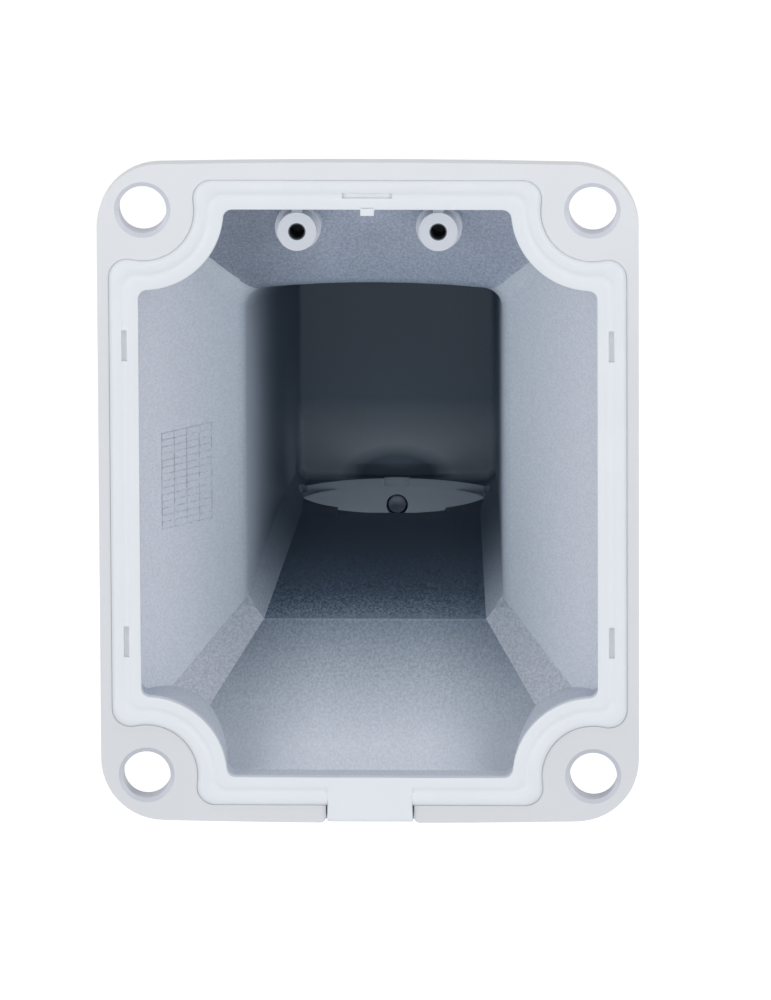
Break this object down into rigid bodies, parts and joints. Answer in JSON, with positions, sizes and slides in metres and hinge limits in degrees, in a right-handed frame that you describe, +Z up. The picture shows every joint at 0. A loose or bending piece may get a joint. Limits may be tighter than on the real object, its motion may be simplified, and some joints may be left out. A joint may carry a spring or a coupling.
{
  "type": "camera wall bracket",
  "caption": "Hollow cast wall arm that hangs a camera from a downward pipe socket, with a gasketed back plate, corner bolt holes and a radial lock screw.",
  "frame": {"origin": "centre of the four wall bolt holes, on the back face of the plate", "axes": "+Z up, +Y away from the wall along the arm, +X to the right when the wall side is looked at"},
  "size_m": [0.118, 0.183, 0.1472],
  "materials": {
    "powder_coat": "white powder coat on a die casting",
    "gasket_rubber": "white moulded silicone rubber",
    "screw_steel": "plain stainless steel"
  },
  "bodies": {
    "arm": {"arm_casting": "powder_coat", "wall_gasket": "gasket_rubber"},
    "lock_screw": {"locking_screw": "screw_steel"}
  },
  "joints": [
    {"name": "lock_screw_travel", "type": "slide", "parent": "arm", "child": "lock_screw", "axis": [0, -1, 0], "range_m": [0, 0.0018]}
  ]
}
